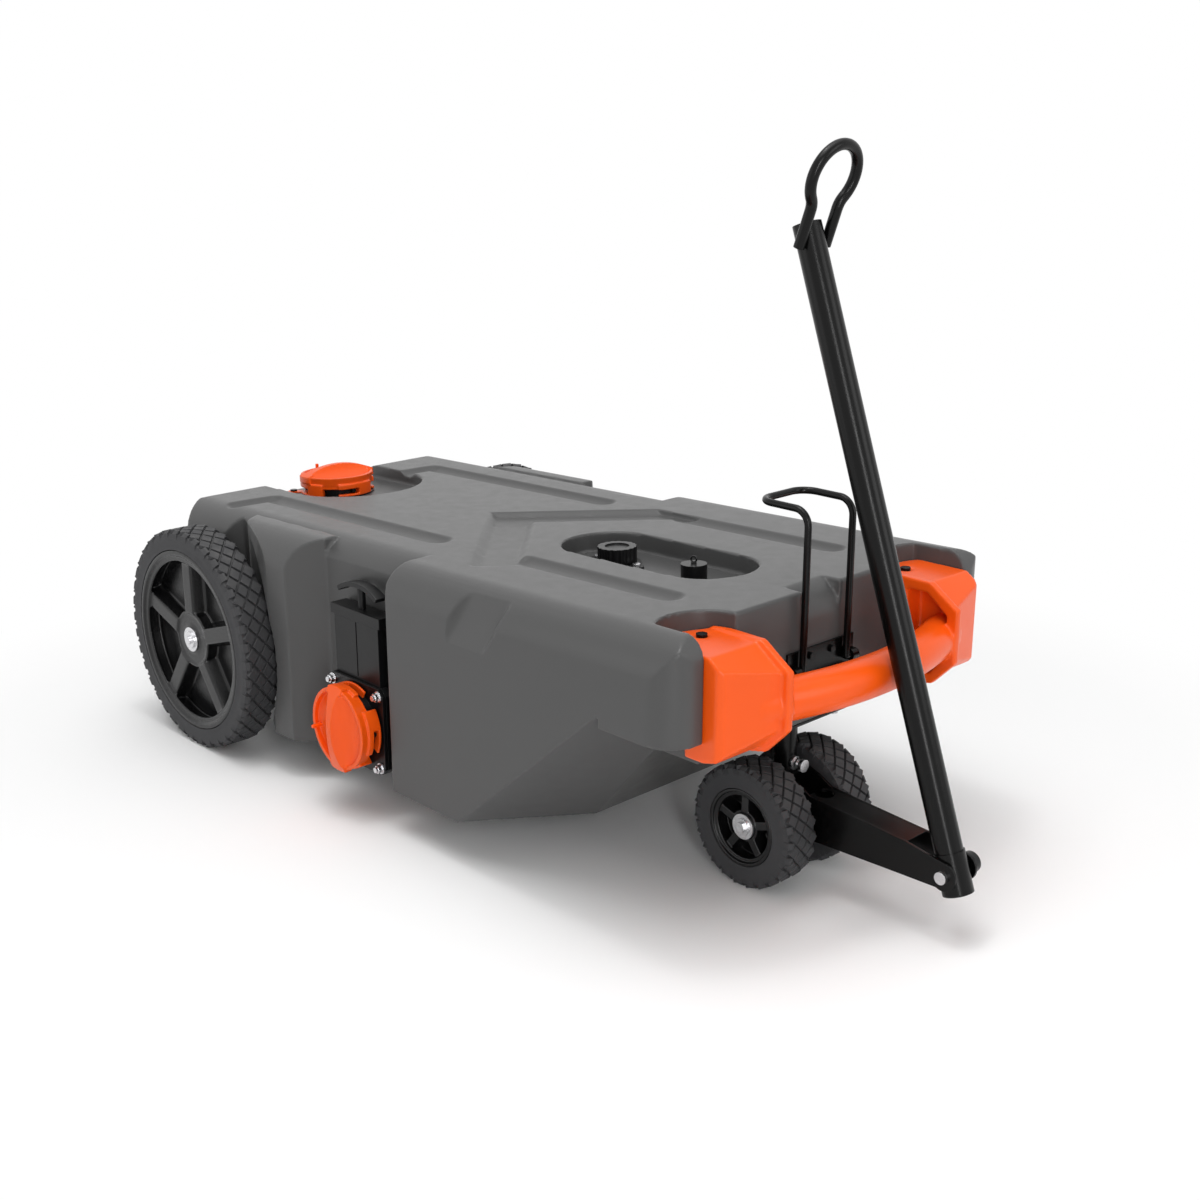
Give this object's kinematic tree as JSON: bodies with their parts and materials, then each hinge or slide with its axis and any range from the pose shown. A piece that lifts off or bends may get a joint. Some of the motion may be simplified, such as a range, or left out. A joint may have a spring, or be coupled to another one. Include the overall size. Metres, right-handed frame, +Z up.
{
  "type": "portable waste water tank",
  "caption": "Wheeled portable waste water tank for camping, with a pull-gate drain valve, bayonet caps, a lifting grip and a folding tow arm with a ball loop.",
  "frame": {"origin": "on the ground below the centre of the overall box", "axes": "+X towards the tow end, +Z up, the drain valve on the -Y side"},
  "size_m": [1.2114, 0.6095, 0.8184],
  "materials": {
    "grey_tank": "matte, rotomoulded",
    "orange": "satin",
    "black_plastic": "satin",
    "black_steel": "gloss powder coat",
    "zinc": "bright zinc",
    "tread": "matte",
    "seal": "matte"
  },
  "bodies": {
    "tank": {"tank_shell": "grey_tank", "front_handle": "orange", "handle_screws": "black_steel", "hook_bracket": "black_steel", "hook_bracket_bolts": "black_steel", "rear_axle": "zinc", "axle_saddles": "black_steel", "saddle_screws": "zinc", "rear_axle_caps": "zinc", "kingpin_mount": "black_steel", "kingpin_mount_bolts": "zinc", "drain_spud": "black_plastic", "valve_seals": "seal", "valve_body_rear": "black_plastic", "valve_body_front": "black_plastic", "valve_gland": "black_plastic", "drain_bayonet": "black_plastic", "valve_bolts": "zinc", "inlet_neck": "black_plastic", "inlet_strap": "orange", "inlet_strap_screw": "black_steel", "vent_spud": "black_plastic", "vent_bolts": "zinc", "rinse_spud": "black_plastic"},
    "rear_wheel_right": {"rear_hub_right": "black_plastic", "rear_tyre_right": "tread", "rear_bushes_right": "black_plastic"},
    "rear_wheel_left": {"rear_hub_left": "black_plastic", "rear_tyre_left": "tread", "rear_bushes_left": "black_plastic"},
    "steering": {"drawbar": "black_steel", "kingpin_lock_bolt": "zinc", "front_axle": "zinc", "front_axle_caps": "zinc", "tow_pivot_bolt": "zinc", "tow_pivot_knob": "black_plastic"},
    "front_wheel_right": {"front_hub_right": "black_plastic", "front_tyre_right": "tread", "front_bushes_right": "black_plastic"},
    "front_wheel_left": {"front_hub_left": "black_plastic", "front_tyre_left": "tread", "front_bushes_left": "black_plastic"},
    "tow_arm": {"tow_tube": "black_steel", "tow_sleeve": "black_steel", "hitch_loop": "black_steel"},
    "hook": {"hook_wire": "black_steel"},
    "gate": {"gate_blade": "zinc", "pull_handle": "black_plastic"},
    "drain_lid": {"drain_cap": "orange", "drain_cap_gasket": "seal"},
    "inlet_lid": {"inlet_cap": "orange", "inlet_cap_gasket": "seal"},
    "vent_lid": {"vent_cap": "black_plastic"},
    "rinse_lid": {"rinse_cap": "black_plastic"}
  },
  "joints": [
    {"name": "rear_wheel_right_turn", "type": "hinge", "parent": "tank", "child": "rear_wheel_right", "pos_m": [-0.4533, -0.2784, 0.1524], "axis": [0, 1, 0], "continuous": true},
    {"name": "rear_wheel_left_turn", "type": "hinge", "parent": "tank", "child": "rear_wheel_left", "pos_m": [-0.4533, 0.2784, 0.1524], "axis": [0, 1, 0], "continuous": true},
    {"name": "steering_turn", "type": "hinge", "parent": "tank", "child": "steering", "pos_m": [0.3487, 0, 0.15], "axis": [0, 0, 1], "range_deg": [-10, 10]},
    {"name": "front_wheel_right_turn", "type": "hinge", "parent": "steering", "child": "front_wheel_right", "pos_m": [0.3487, -0.05, 0.0731], "axis": [0, 1, 0], "continuous": true},
    {"name": "front_wheel_left_turn", "type": "hinge", "parent": "steering", "child": "front_wheel_left", "pos_m": [0.3487, 0.05, 0.0731], "axis": [0, 1, 0], "continuous": true},
    {"name": "tow_arm_fold", "type": "hinge", "parent": "steering", "child": "tow_arm", "pos_m": [0.5817, 0, 0.079], "axis": [0, 1, 0], "range_deg": [0, 95]},
    {"name": "hook_fold", "type": "hinge", "parent": "tank", "child": "hook", "pos_m": [0.3997, 0, 0.264], "axis": [0, 1, 0], "range_deg": [0, 26]},
    {"name": "gate_pull", "type": "slide", "parent": "tank", "child": "gate", "axis": [0, 0, 1], "range_m": [0, 0.08]},
    {"name": "drain_cap_twist", "type": "hinge", "parent": "tank", "child": "drain_lid", "pos_m": [-0.1193, -0.27, 0.117], "axis": [0, -1, 0], "range_deg": [0, 25]},
    {"name": "inlet_cap_twist", "type": "hinge", "parent": "tank", "child": "inlet_lid", "pos_m": [-0.52294, 0, 0.30813], "axis": [-0.0368, 0, 0.9993], "range_deg": [0, 25]},
    {"name": "vent_cap_lift", "type": "slide", "parent": "tank", "child": "vent_lid", "axis": [-0.0368, 0, 0.9993], "range_m": [0, 0.03]},
    {"name": "rinse_cap_lift", "type": "slide", "parent": "tank", "child": "rinse_lid", "axis": [-0.0368, 0, 0.9993], "range_m": [0, 0.03]}
  ]
}
